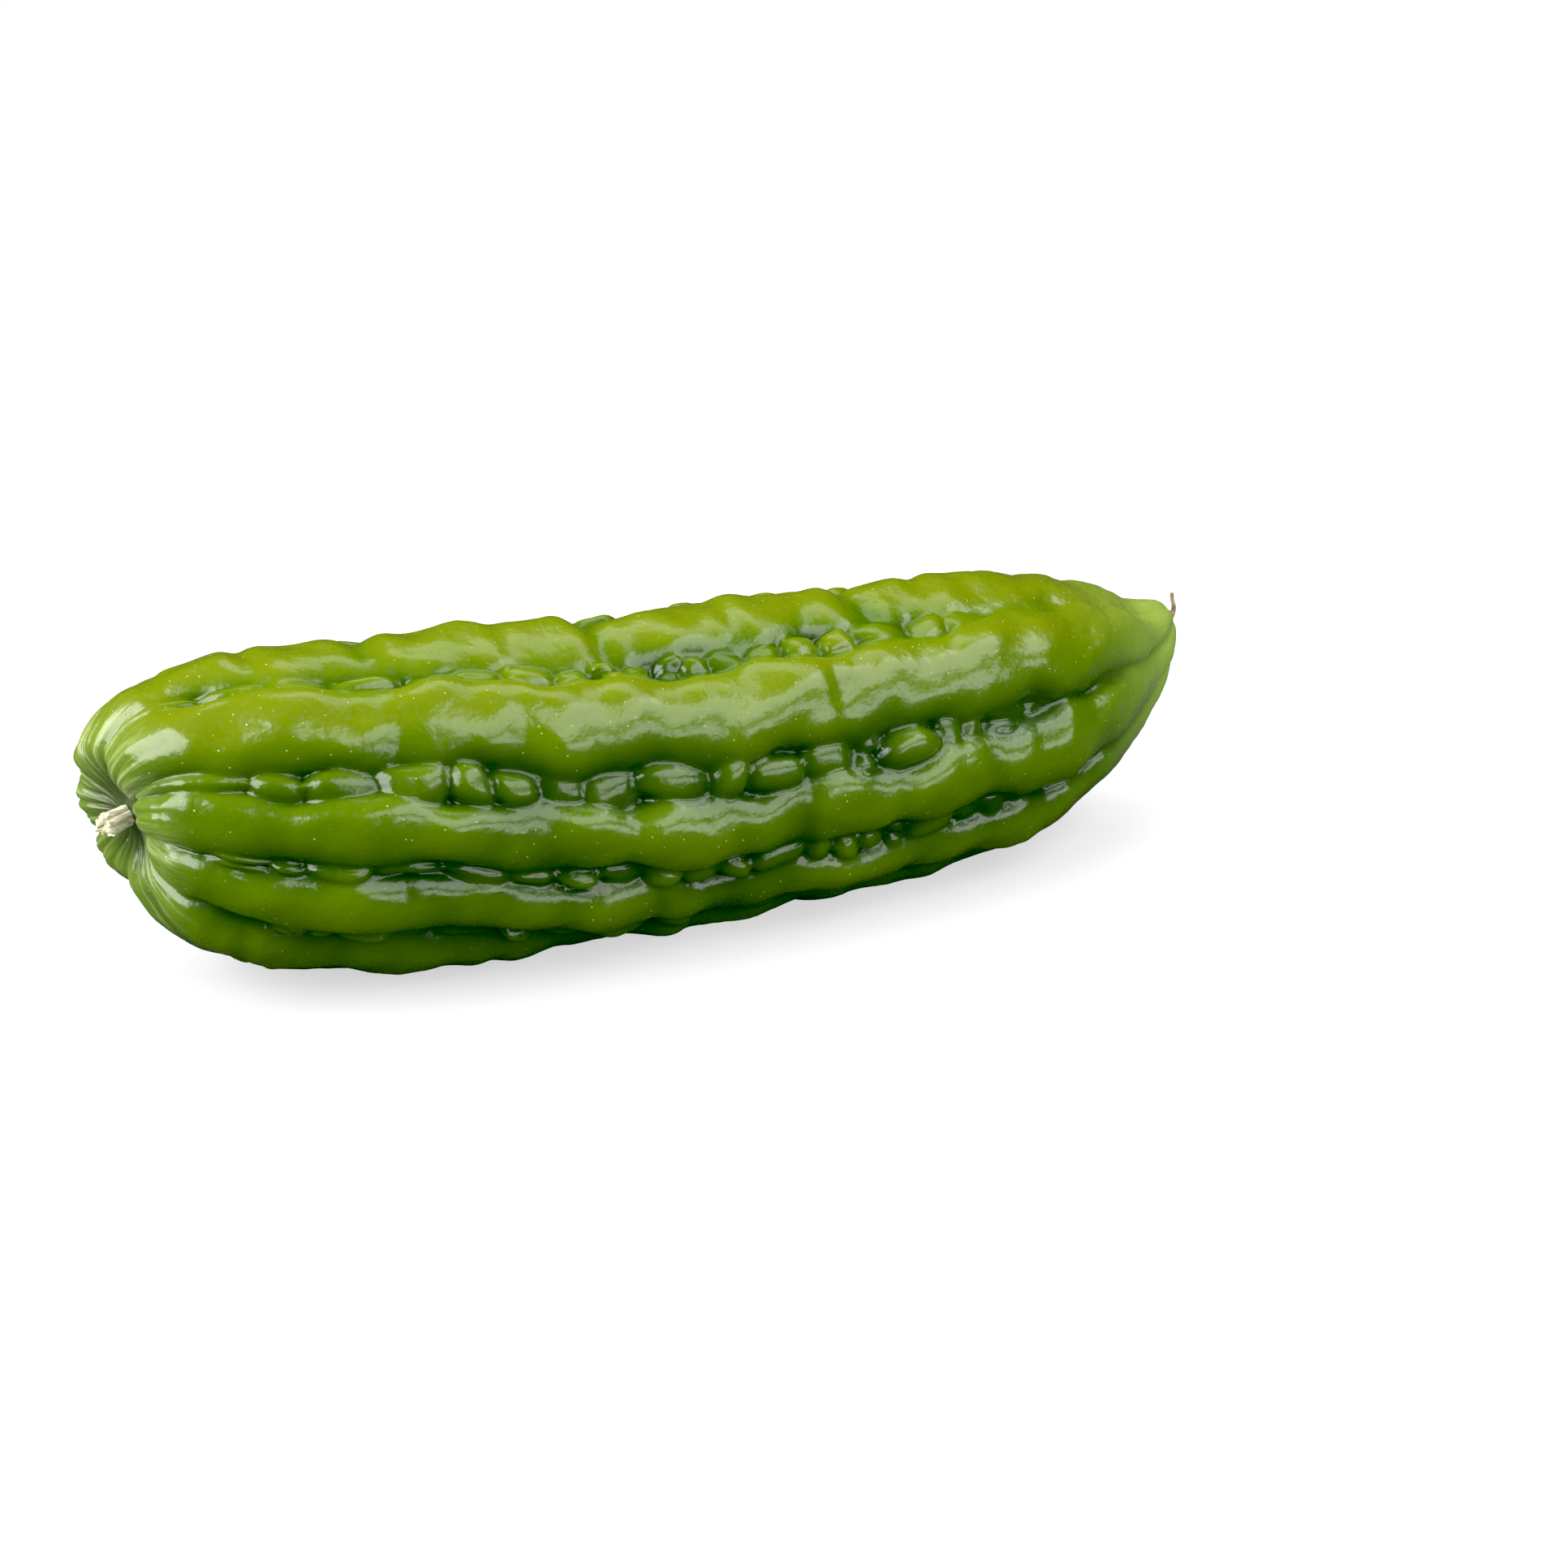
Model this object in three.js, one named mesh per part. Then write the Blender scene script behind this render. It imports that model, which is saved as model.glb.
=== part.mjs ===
// A whole bitter gourd lying on its side.
// Millimetres, +Z up, +X along the fruit from the stem end to the blossom tip.
// The floor is z = 0 and the bounding box is centred over the origin.
//
// The skin is one closed surface. A smooth spindle gives the overall shape, and
// a relief written along the spindle's normals raises the lengthwise ridges and
// the chains of warts that fill the furrows between them.
import * as THREE from 'three';

// Overall size
const LENGTH = 261;
const STEM_CAP = 63;
const STEM_CAP_POWER = 2.25;
const TIP_CAP = 68.5;

// Distance from the fruit's axis to the ridge crests, at stations along the length
const STATIONS = [0, 0.12, 0.25, 0.4, 0.6, 0.8, 1];
const CREST_RADIUS = [39, 36, 35.1, 34.7, 34.3, 31.8, 22.4];

// Hollow at the stem end, and how far it sits off the fruit's axis
const HOLLOW_DEPTH = 5.8;
const HOLLOW_FLOOR_RADIUS = 3.2;
const HOLLOW_RIM_RADIUS = 16;
const STEM_DROP = 0.5;
const STEM_DROP_TO = 0.06;
const STEM_SIDESTEP = 5;
const STEM_SIDESTEP_TO = 0.12;

// The stem end is turned to the front side, and its upper lobes reach further out
// than its lower ones
const FACE_SETBACK = 4.3;
const FACE_TURN = 6.5;
const FACE_LEAN = 8.2;
const FACE_LEAN_TO = 0.1;

// The hollow itself is turned further to the front side than the lobes round it
const HOLLOW_TURN = 6.5;
const HOLLOW_TURN_FROM = 12;
const HOLLOW_TURN_TO = 26;

// Curve of the fruit: the middle bows towards -Y and the tip lifts off the floor
const BOW = 18.6;
const TIP_LIFT = 17;
const TIP_LIFT_FROM = 0.7;
const APEX_LIFT = 4;
const APEX_LIFT_FROM = 0.93;

// A shallow neck behind the beak at the tip
const NECK_AT = 245;
const NECK_REACH = 5.5;
const NECK_DEPTH = 1.1;

// Uneven growth that runs over ridges and furrows alike. Twists count the waves
// round the fruit, and lengths say how fast they change along it.
const BROAD_LUMPS = 0.8;
const BROAD_TWIST = 5;
const BROAD_LENGTH = 5.1;
const BROAD_WANDER = 17;
const CROSS_TWIST = 3;
const CROSS_LENGTH = 8.3;
const SMALL_LUMPS = 0.2;
const SMALL_TWIST = 11;
const SMALL_LENGTH = 2.7;
const SMALL_WANDER = 13;

// How far the lowest crests are pressed flat against the floor
const REST_SINK = 2.3;

// Relief of the skin. A ridge is a flat-topped dome that wavers from side to side,
// swells, and has undulating edges. Lengths are those of whole waves.
const FURROW_DEPTH = 6.6;
const DOME_FLATNESS = 2.2;
const DOME_POWER = 0.55;
const WAVER_DEGREES = 1.7;
const WAVER_LENGTH = 41;
const SWELL = 0.7;
const SWELL_LENGTH = 53;
const EDGE_SLOW = 0.048;
const EDGE_SLOW_LENGTH = 31;
const EDGE_QUICK = 0.016;
const EDGE_QUICK_LENGTH = 12.7;

// Creases across each ridge: least and greatest distance, depth and reach
const FIRST_CREASE = [16, 30];
const CREASE_SPACING = [15, 34];
const CREASE_DEPTH = [0.5, 1.8];
const CREASE_REACH = [1.8, 4.4];
const LAST_CREASE_FROM_TIP = 18;

// Each furrow starts with a narrow lobe and goes on with a chain of warts. Tops are
// heights over the spindle, and an edge of 2 is round where 3 is nearly square.
const LOBE_END = [12, 32];
const LOBE_TOP = [-1.4, -2.6];
const LOBE_WIDTH = 0.9;
const LOBE_EDGE = 2.2;
const WART_SIZE = 6;
const WART_EXTRA_SIZE = 9;
const WART_SMALL_BIAS = 1.4;
const WART_TOP = [-0.8, -3.2];
const WART_EDGE = [2.1, 3.2];
const WART_WIDTH = [0.8, 1.2];
const WART_LEAN = [-0.15, 0.15];
const WART_HALF = 0.57;
const LAST_WART_FROM_TIP = 16;
const WART_PUSH = 0.5;
const WART_PUSH_LENGTH = 4.7;
const WART_SHIFT = 0.1;
const WART_SHIFT_LENGTH = 3.1;

// Some warts stand in pairs, side by side
const PAIR_CHANCE = 0.22;
const PAIR_SLIP = [-1.2, 1.2];
const PAIR_DROP = [0, -0.8];
const PAIR_WIDTH = 0.58;

// How far ridges and warts reach under each other, as a share of the pitch
const RIDGE_OVERLAP = 0.03;
const WART_OVERLAP = 0.065;

// Course of the nine ridges, in degrees up from the -Y side at each station
const RIDGES = [
  [106, 97, 93, 91, 91, 90, 88],
  [58, 52, 47, 40, 41, 46, 50],
  [16, 13, 6, -5, -5, 0, 6],
  [-14, -15, -22, -38, -40, -38, -34],
  [-46, -46, -54, -71, -73, -73, -72],
  [-84, -86, -97, -109, -111, -111, -110],
  [-128, -130, -140, -150, -152, -152, -150],
  [-176, -180, -188, -194, -195, -195, -192],
  [-232, -230, -229, -230, -230, -230, -230],
];

// Share of the way between two ridges that the furrow below the first one takes up
const FURROW_SHARE = [
  [0.06, 0.05, 0.05, 0.09, 0.17, 0.06, 0.03],
  [0.08, 0.22, 0.25, 0.25, 0.24, 0.12, 0.04],
  [0.04, 0.04, 0.06, 0.20, 0.24, 0.12, 0.04],
  [0.04, 0.04, 0.06, 0.18, 0.22, 0.1, 0.04],
  [0.06, 0.08, 0.18, 0.24, 0.24, 0.12, 0.04],
  [0.06, 0.16, 0.24, 0.26, 0.22, 0.1, 0.04],
  [0.06, 0.12, 0.22, 0.26, 0.24, 0.12, 0.04],
  [0.06, 0.16, 0.24, 0.22, 0.24, 0.14, 0.04],
  [0.08, 0.05, 0.1, 0.20, 0.20, 0.1, 0.04],
];

// Where the furrow lies between its two ridges, and how deeply each ridge is creased
const FURROW_MIDDLE = [0.61, 0.58, 0.53, 0.5, 0.5, 0.5, 0.5, 0.5, 0.5];
const CREASE_STRENGTH = [1.15, 0.35, 0.45, 0.4, 0.6, 0.8, 1, 1, 0.9];

// The whole relief is shallower towards both ends
const RELIEF_SHARE = [0.75, 0.9, 1, 1, 1, 0.75, 0.45];

// Extra height of single ridges
const CREST_RISE = [0, 1.2, 0.3, 0, 0, 0, 0, 0, 0];

// The warts sink away towards the tip
const WARTS_SINK = 4;
const WARTS_SINK_FROM = 0.64;
const WARTS_SINK_TO = 0.84;

// How far each furrow fills up to a shallow saddle towards the tip
const FURROW_FILL = [0.55, 0, 0, 0, 0, 0, 0, 0, 0];
const FURROW_FILL_FROM = 0.6;
const FURROW_FILL_TO = 0.74;

// Mesh density
const COLUMNS_PER_RIDGE = 9;
const RINGS = 68;

// Cut stem
const STEM_RADIUS = 2.9;
const STEM_LENGTH = 4.4;
const STEM_STRANDS = 6;

// Dried style at the blossom tip: its course in the XZ plane from the tip
const STYLE_PATH = [[0, 0], [0.9, 0.9], [1.5, 2.2], [1.3, 3.8], [0.7, 5.2], [0.6, 6.6]];
const STYLE_BASE_RADIUS = 0.9;
const STYLE_END_RADIUS = 0.5;

// Gap left between separate pieces
const PIECE_GAP = 0.3;

const RANDOM_SEED = 4217;

const FULL_TURN = 2 * Math.PI;

function clamp(value, low, high) {
  return Math.min(high, Math.max(low, value));
}

function ease(value, from, to) {
  const s = clamp((value - from) / (to - from), 0, 1);
  return s * s * (3 - 2 * s);
}

// A smooth curve through values given at the stations
function along(values, t) {
  let k = 0;
  while (k < STATIONS.length - 2 && t > STATIONS[k + 1]) k += 1;
  const slope = (n) => {
    const before = Math.max(n - 1, 0);
    const after = Math.min(n + 1, STATIONS.length - 1);
    return (values[after] - values[before]) / (STATIONS[after] - STATIONS[before]);
  };
  const span = STATIONS[k + 1] - STATIONS[k];
  const s = (t - STATIONS[k]) / span;
  const leave = slope(k) * span;
  const arrive = slope(k + 1) * span;
  const rise = values[k + 1] - values[k];
  return values[k] + s * (leave + s * (3 * rise - 2 * leave - arrive + s * (leave + arrive - 2 * rise)));
}

// Seeded draws between 0 and 1
let randomState = RANDOM_SEED;
function draw() {
  randomState = (randomState * 16807) % 2147483647;
  return randomState / 2147483647;
}

function between([first, last]) {
  return first + (last - first) * draw();
}

// Half the outline of the spindle: distance along the fruit, radius, and how
// full the section is (0 at the ends, 1 in the middle)
function profile(t) {
  const fromStem = clamp((t * LENGTH) / STEM_CAP, 0, 1);
  const fromTip = clamp(((1 - t) * LENGTH) / TIP_CAP, 0, 1);
  const stemRound = (1 - (1 - fromStem) ** STEM_CAP_POWER) ** (1 / STEM_CAP_POWER);
  const tipRound = Math.sqrt(1 - (1 - fromTip) ** 2);
  const fullness = stemRound * tipRound;
  const radius = along(CREST_RADIUS, t) * fullness;
  let x = (t - 0.5) * LENGTH;
  if (t < 0.5) x += HOLLOW_DEPTH * (1 - ease(radius, HOLLOW_FLOOR_RADIUS, HOLLOW_RIM_RADIUS));
  return { x, radius, fullness };
}

function profileNormal(t) {
  const before = profile(Math.max(t - 1e-4, 0));
  const after = profile(Math.min(t + 1e-4, 1));
  const dx = after.x - before.x;
  const dr = after.radius - before.radius;
  const size = Math.hypot(dx, dr);
  return { x: -dr / size, radius: dx / size };
}

function axisAt(t) {
  const lift = TIP_LIFT * clamp((t - TIP_LIFT_FROM) / (1 - TIP_LIFT_FROM), 0, 1) ** 2;
  const apex = APEX_LIFT * clamp((t - APEX_LIFT_FROM) / (1 - APEX_LIFT_FROM), 0, 1) ** 2;
  const drop = STEM_DROP * clamp(1 - t / STEM_DROP_TO, 0, 1) ** 2;
  const sidestep = STEM_SIDESTEP * clamp(1 - t / STEM_SIDESTEP_TO, 0, 1) ** 2;
  return {
    y: -BOW * (1 - (2 * t - 1) ** 2) - sidestep,
    z: along(CREST_RADIUS, t) + lift + apex - drop - REST_SINK,
  };
}

// Every ridge has its own waver, swells and creases
const ridgeCharacter = RIDGES.map(() => {
  const creases = [];
  let at = between(FIRST_CREASE);
  while (at < LENGTH - LAST_CREASE_FROM_TIP) {
    creases.push({ at, depth: between(CREASE_DEPTH), reach: between(CREASE_REACH) });
    at += between(CREASE_SPACING);
  }
  return {
    waver: FULL_TURN * draw(),
    swell: FULL_TURN * draw(),
    upperEdge: FULL_TURN * draw(),
    lowerEdge: FULL_TURN * draw(),
    twitch: FULL_TURN * draw(),
    creases,
  };
});

// Every furrow holds a narrow lobe near the stem and then a chain of warts, some
// of them in pairs side by side
const furrowWarts = RIDGES.map(() => {
  const lobeEnd = between(LOBE_END);
  const half = lobeEnd / 2;
  const warts = [
    { at: half + 1, half, top: between(LOBE_TOP), width: LOBE_WIDTH, lean: 0, edge: LOBE_EDGE },
  ];
  let at = lobeEnd;
  while (at < LENGTH - LAST_WART_FROM_TIP) {
    const size = WART_SIZE + WART_EXTRA_SIZE * draw() ** WART_SMALL_BIAS;
    const top = between(WART_TOP);
    const edge = between(WART_EDGE);
    const middle = at + size / 2;
    if (draw() < PAIR_CHANCE) {
      for (const lean of [-0.5, 0.5]) {
        const place = middle + between(PAIR_SLIP);
        const lower = top + between(PAIR_DROP);
        warts.push({ at: place, half: size / 2, top: lower, width: PAIR_WIDTH, lean, edge });
      }
    } else {
      const width = between(WART_WIDTH);
      const lean = between(WART_LEAN);
      warts.push({ at: middle, half: size * WART_HALF, top, width, lean, edge });
    }
    at += size;
  }
  return warts;
});

function ridgeAngle(ridge, t) {
  const turn = ridge === RIDGES.length ? -360 : 0;
  const n = ridge % RIDGES.length;
  const wave = WAVER_DEGREES * Math.sin((FULL_TURN * t * LENGTH) / WAVER_LENGTH + ridgeCharacter[n].waver);
  return along(RIDGES[n], t) + turn + wave;
}

// Height of one ridge. Offset and reach are shares of the way to the next ridge.
function ridgeHeight(ridge, offset, reach, side, t) {
  const n = ridge % RIDGES.length;
  const character = ridgeCharacter[n];
  const s = t * LENGTH;
  const phase = side > 0 ? character.lowerEdge : character.upperEdge;
  const slow = EDGE_SLOW * Math.sin((FULL_TURN * s) / EDGE_SLOW_LENGTH + phase);
  const quick = EDGE_QUICK * Math.sin((FULL_TURN * s) / EDGE_QUICK_LENGTH + phase * 3);
  const q = offset / (reach + RIDGE_OVERLAP + slow + quick);
  if (q >= 1) return -FURROW_DEPTH;
  let crest = CREST_RISE[n] + SWELL * Math.sin((FULL_TURN * s) / SWELL_LENGTH + character.swell);
  for (const crease of character.creases) {
    crest -= CREASE_STRENGTH[n] * crease.depth * Math.exp(-(((s - crease.at) / crease.reach) ** 2));
  }
  return -FURROW_DEPTH + (FURROW_DEPTH + crest) * (1 - q ** DOME_FLATNESS) ** DOME_POWER;
}

// Height of the warts in a furrow. They push each other a little out of line.
function wartHeight(furrow, across, share, t) {
  const { twitch } = ridgeCharacter[furrow];
  const s = t * LENGTH;
  const off = (across - FURROW_MIDDLE[furrow]) / (share / 2 + WART_OVERLAP);
  const sPushed = s + WART_PUSH * Math.sin(2.2 * off + s / WART_PUSH_LENGTH + twitch);
  const offPushed = off + WART_SHIFT * Math.sin(s / WART_SHIFT_LENGTH + twitch);
  const sink = WARTS_SINK * ease(t, WARTS_SINK_FROM, WARTS_SINK_TO);
  let height = -FURROW_DEPTH;
  for (const wart of furrowWarts[furrow]) {
    const u = Math.abs(sPushed - wart.at) / wart.half;
    const v = Math.abs(offPushed - wart.lean) / wart.width;
    const inside = 1 - u ** wart.edge - v ** wart.edge;
    if (inside <= 0) continue;
    const dome = (FURROW_DEPTH + wart.top - sink) * Math.sqrt(inside);
    height = Math.max(height, -FURROW_DEPTH + dome);
  }
  return height;
}

// Height of the skin above the spindle. The relief gets shallower towards both
// poles, and the neck behind the beak runs all the way round.
function relief(furrow, across, t, fullness, angle) {
  const share = along(FURROW_SHARE[furrow], t);
  const middle = FURROW_MIDDLE[furrow];
  const fromFirst = ridgeHeight(furrow, across, middle - share / 2, 1, t);
  const fromSecond = ridgeHeight(furrow + 1, 1 - across, 1 - middle - share / 2, -1, t);
  const highest = Math.max(fromFirst, fromSecond, wartHeight(furrow, across, share, t));
  const filled = FURROW_FILL[furrow] * ease(t, FURROW_FILL_FROM, FURROW_FILL_TO);
  const height = highest < 0 ? highest * (1 - filled) : highest;
  const s = t * LENGTH;
  const drift = BROAD_TWIST * angle + s / BROAD_LENGTH + Math.sin(s / BROAD_WANDER);
  const broad = BROAD_LUMPS * Math.sin(drift) * Math.sin(s / CROSS_LENGTH - CROSS_TWIST * angle + 1);
  const wander = 2 * Math.sin(s / SMALL_WANDER + CROSS_TWIST * angle);
  const small = SMALL_LUMPS * Math.sin(SMALL_TWIST * angle - s / SMALL_LENGTH + wander);
  const neck = NECK_DEPTH * Math.exp(-(((s - NECK_AT) / NECK_REACH) ** 2));
  const fade = along(RELIEF_SHARE, t) * fullness ** 0.8 * ease(fullness, 0.07, 0.2);
  return (height + broad + small) * fade - neck;
}

// How far a point of the stem end moves along the fruit because that end is slanted
function faceSlant(radius, angle) {
  const near = (radius * Math.cos(angle)) / CREST_RADIUS[0];
  const rise = (radius * Math.sin(angle)) / CREST_RADIUS[0];
  const hollowTurn = HOLLOW_TURN * (1 - ease(radius, HOLLOW_TURN_FROM, HOLLOW_TURN_TO));
  return (FACE_TURN + hollowTurn) * near - FACE_LEAN * rise;
}

function skinPoint(furrow, across, t) {
  const spindle = profile(t);
  const normal = profileNormal(t);
  const axis = axisAt(t);
  const first = ridgeAngle(furrow, t);
  const second = ridgeAngle(furrow + 1, t);
  const angle = THREE.MathUtils.degToRad(first + (second - first) * across);
  const height = relief(furrow, across, t, spindle.fullness, angle);
  const radius = spindle.radius + normal.radius * height;
  const lean = FACE_SETBACK + faceSlant(radius, angle);
  return new THREE.Vector3(
    spindle.x + normal.x * height + lean * clamp(1 - t / FACE_LEAN_TO, 0, 1) ** 2,
    axis.y - radius * Math.cos(angle),
    Math.max(axis.z + radius * Math.sin(angle), 0),
  );
}

// Stations spaced evenly by distance over the spindle's surface
function evenStations(count) {
  const samples = [];
  let travelled = 0;
  let last = profile(0);
  for (let k = 0; k <= 4000; k += 1) {
    const t = (1 - Math.cos((Math.PI * k) / 4000)) / 2;
    const here = profile(t);
    travelled += Math.hypot(here.x - last.x, here.radius - last.radius);
    samples.push([travelled, t]);
    last = here;
  }
  const stations = [];
  let k = 0;
  for (let n = 1; n < count; n += 1) {
    const wanted = (travelled * n) / count;
    while (samples[k][0] < wanted) k += 1;
    stations.push(samples[k][1]);
  }
  return stations;
}

// A closed mesh from a start point, rings of points and an end point
function closedMesh(start, rings, end) {
  const columns = rings[0].length;
  const points = [start, ...rings.flat(), end];
  const faces = [];
  const at = (ring, column) => 1 + ring * columns + (column % columns);
  for (let c = 0; c < columns; c += 1) {
    faces.push(0, at(0, c + 1), at(0, c));
    for (let r = 0; r < rings.length - 1; r += 1) {
      faces.push(at(r, c), at(r, c + 1), at(r + 1, c));
      faces.push(at(r, c + 1), at(r + 1, c + 1), at(r + 1, c));
    }
    faces.push(at(rings.length - 1, c), at(rings.length - 1, c + 1), points.length - 1);
  }
  const geometry = new THREE.BufferGeometry();
  geometry.setAttribute('position', new THREE.Float32BufferAttribute(points.flatMap((p) => p.toArray()), 3));
  geometry.setIndex(faces);
  geometry.computeVertexNormals();
  return geometry;
}

function makeSkin() {
  const rings = evenStations(RINGS).map((t) => {
    const ring = [];
    for (let furrow = 0; furrow < RIDGES.length; furrow += 1) {
      for (let c = 0; c < COLUMNS_PER_RIDGE; c += 1) {
        ring.push(skinPoint(furrow, c / COLUMNS_PER_RIDGE, t));
      }
    }
    return ring;
  });
  return closedMesh(skinPoint(0, 0, 0), rings, skinPoint(0, 0, 1));
}

// The cut stem: a short bundle of strands, torn unevenly at its free end
function makeStem() {
  const root = skinPoint(0, 0, 0);
  const levels = [
    [0, 0.9], [0.35, 0.92], [0.7, 1], [0.95, 1.08], [1, 0.9], [0.86, 0.6], [0.78, 0.3],
  ];
  const sideways = (FACE_TURN + HOLLOW_TURN) / CREST_RADIUS[0];
  const heading = new THREE.Vector3(-1, -sideways, -FACE_LEAN / CREST_RADIUS[0]);
  const base = root.clone().add(new THREE.Vector3(-PIECE_GAP, 0, 0));
  const columns = STEM_STRANDS * 6;
  const rings = levels.map(([rise, spread]) => {
    const ring = [];
    for (let c = 0; c < columns; c += 1) {
      const turn = (-FULL_TURN * c) / columns;
      const strand = Math.abs(Math.cos((STEM_STRANDS / 2) * turn));
      const torn = 1 + 0.22 * Math.sin(2 * turn + 0.8) + 0.12 * Math.sin(5 * turn);
      const radius = STEM_RADIUS * spread * (0.8 + 0.25 * strand);
      const across = new THREE.Vector3(faceSlant(radius, turn), -radius * Math.cos(turn), radius * Math.sin(turn));
      ring.push(base.clone().add(across).addScaledVector(heading, STEM_LENGTH * rise * torn));
    }
    return ring;
  });
  const heart = base.clone().addScaledVector(heading, STEM_LENGTH * 0.72);
  return closedMesh(heart, rings.reverse(), base);
}

// The dried style: a thin tapering curl
function makeStyle() {
  const root = skinPoint(0, 0, 1);
  const columns = 8;
  const course = STYLE_PATH.map(([x, z]) => new THREE.Vector3(root.x + PIECE_GAP + 0.1 + x, root.y, root.z + z));
  const curve = new THREE.CatmullRomCurve3(course);
  const steps = 12;
  const rings = [];
  for (let k = 0; k <= steps; k += 1) {
    const s = k / steps;
    const centre = curve.getPoint(s);
    const ahead = k === 0 ? new THREE.Vector3(1, 0, 0) : curve.getTangent(s);
    const side = new THREE.Vector3(0, 1, 0);
    const over = new THREE.Vector3().crossVectors(side, ahead).normalize();
    const radius = STYLE_BASE_RADIUS + (STYLE_END_RADIUS - STYLE_BASE_RADIUS) * s ** 0.7;
    const ring = [];
    for (let c = 0; c < columns; c += 1) {
      const turn = (FULL_TURN * c) / columns;
      ring.push(centre.clone()
        .addScaledVector(side, radius * Math.cos(turn))
        .addScaledVector(over, -radius * Math.sin(turn)));
    }
    rings.push(ring);
  }
  return closedMesh(curve.getPoint(0), rings, curve.getPoint(1));
}

function makeMesh(name, geometry, colour, roughness) {
  const material = new THREE.MeshStandardMaterial({ color: colour, roughness, metalness: 0 });
  material.name = `${name}_material`;
  const mesh = new THREE.Mesh(geometry, material);
  mesh.name = name;
  return mesh;
}

const gourd = new THREE.Group();
gourd.name = 'bitter_gourd';
gourd.add(
  makeMesh('fruit', makeSkin(), 0x5f8f22, 0.3),
  makeMesh('cut_stem', makeStem(), 0xd9d0a6, 0.8),
  makeMesh('dried_style', makeStyle(), 0x7a5a3a, 0.8),
);

// Centre the bounding box over the origin
const box = new THREE.Box3().setFromObject(gourd);
const centre = box.getCenter(new THREE.Vector3());
for (const mesh of gourd.children) mesh.geometry.translate(-centre.x, -centre.y, 0);

export default gourd;
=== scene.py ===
# %% [markdown]
# # A bitter gourd
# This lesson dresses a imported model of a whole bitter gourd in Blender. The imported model
# gives the size and the place of every piece, and this script gives the looks: the fine
# relief of the skin, the torn stem, the dried curl at the tip, the materials and the light.
# Everything is in metres, and the fruit lies along X with its stem end at -X.

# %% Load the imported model
import math

import bmesh
import bpy
import numpy as np
from mathutils import Matrix, Vector, noise


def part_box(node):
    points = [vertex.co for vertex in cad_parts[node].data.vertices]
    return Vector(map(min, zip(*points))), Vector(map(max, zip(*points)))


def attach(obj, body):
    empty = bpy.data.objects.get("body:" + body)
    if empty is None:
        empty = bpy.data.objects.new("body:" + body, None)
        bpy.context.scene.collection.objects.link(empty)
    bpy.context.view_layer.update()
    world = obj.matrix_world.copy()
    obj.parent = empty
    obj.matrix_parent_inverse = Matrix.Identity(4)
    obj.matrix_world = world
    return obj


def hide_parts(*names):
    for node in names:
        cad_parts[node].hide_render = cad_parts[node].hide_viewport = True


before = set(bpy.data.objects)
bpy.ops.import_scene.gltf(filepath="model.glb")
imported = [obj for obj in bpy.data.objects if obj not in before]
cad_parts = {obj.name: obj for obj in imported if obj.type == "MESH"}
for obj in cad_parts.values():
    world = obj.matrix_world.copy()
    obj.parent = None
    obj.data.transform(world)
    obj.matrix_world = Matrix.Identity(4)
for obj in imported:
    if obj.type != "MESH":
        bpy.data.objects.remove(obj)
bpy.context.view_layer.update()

MM = 0.001
print("packed nodes:", sorted(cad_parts))

# %% [markdown]
# ## The camera
# A photographer of a product like this stands a little above it and a little to the left,
# with a 50 mm lens. A camera looks along its own -Z, so turning the axis from the target to
# the camera into the camera's +Z is enough to aim it.

# %% Camera
VIEW_AZIMUTH = -27.3
VIEW_ELEVATION = 20.3
VIEW_DISTANCE = 495.5 * MM
VIEW_TARGET = Vector((22.2, 14.8, 16.1)) * MM


def add_camera():
    azimuth = math.radians(VIEW_AZIMUTH)
    elevation = math.radians(VIEW_ELEVATION)
    towards = Vector((
        math.sin(azimuth) * math.cos(elevation),
        -math.cos(azimuth) * math.cos(elevation),
        math.sin(elevation),
    ))
    data = bpy.data.cameras.new("view")
    data.lens = 50
    data.sensor_width = 36
    data.clip_start = 0.01
    data.clip_end = 50
    camera = bpy.data.objects.new("view", data)
    camera.location = VIEW_TARGET + towards * VIEW_DISTANCE
    camera.rotation_euler = towards.to_track_quat("Z", "Y").to_euler()
    bpy.context.scene.collection.objects.link(camera)
    bpy.context.scene.camera = camera
    return camera


camera = add_camera()
print("camera at", [round(c, 3) for c in camera.location])

# %% [markdown]
# ## The shape of the skin, as a formula
# The gourd is a spindle that bows sideways and lifts at its tip. Its skin could be sculpted
# by hand, but a formula is exact and can be repeated: the same values make the coarse solid
# and this fine skin. `t` runs from 0 at the stem to 1 at the tip.

# %% Overall values of the spindle and its bow, in millimetres
LENGTH = 261
# The rounded caps at both ends: how far each reaches, and how square the stem's cap is.
STEM_CAP = 63
STEM_CAP_POWER = 2.25
TIP_CAP = 68.5
# The radius over the crests at seven stations, which are shares of the length.
STATIONS = np.array([0, 0.12, 0.25, 0.4, 0.6, 0.8, 1])
CREST_RADIUS = np.array([39.0, 36.0, 35.1, 34.7, 34.3, 31.8, 22.4])
# The hollow round the stem, and how far the axis drops and steps aside there.
HOLLOW_DEPTH = 5.8
HOLLOW_FLOOR_RADIUS = 3.2
HOLLOW_RIM_RADIUS = 16
STEM_DROP = 0.5
STEM_DROP_TO = 0.06
STEM_SIDESTEP = 5
STEM_SIDESTEP_TO = 0.12
# The stem end's face is set back, turned towards the front and leant upwards, and the
# hollow in it is turned a little further.
FACE_SETBACK = 4.3
FACE_TURN = 6.5
FACE_LEAN = 8.2
FACE_LEAN_TO = 0.1
HOLLOW_TURN = 6.5
HOLLOW_TURN_FROM = 12
HOLLOW_TURN_TO = 26
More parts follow.
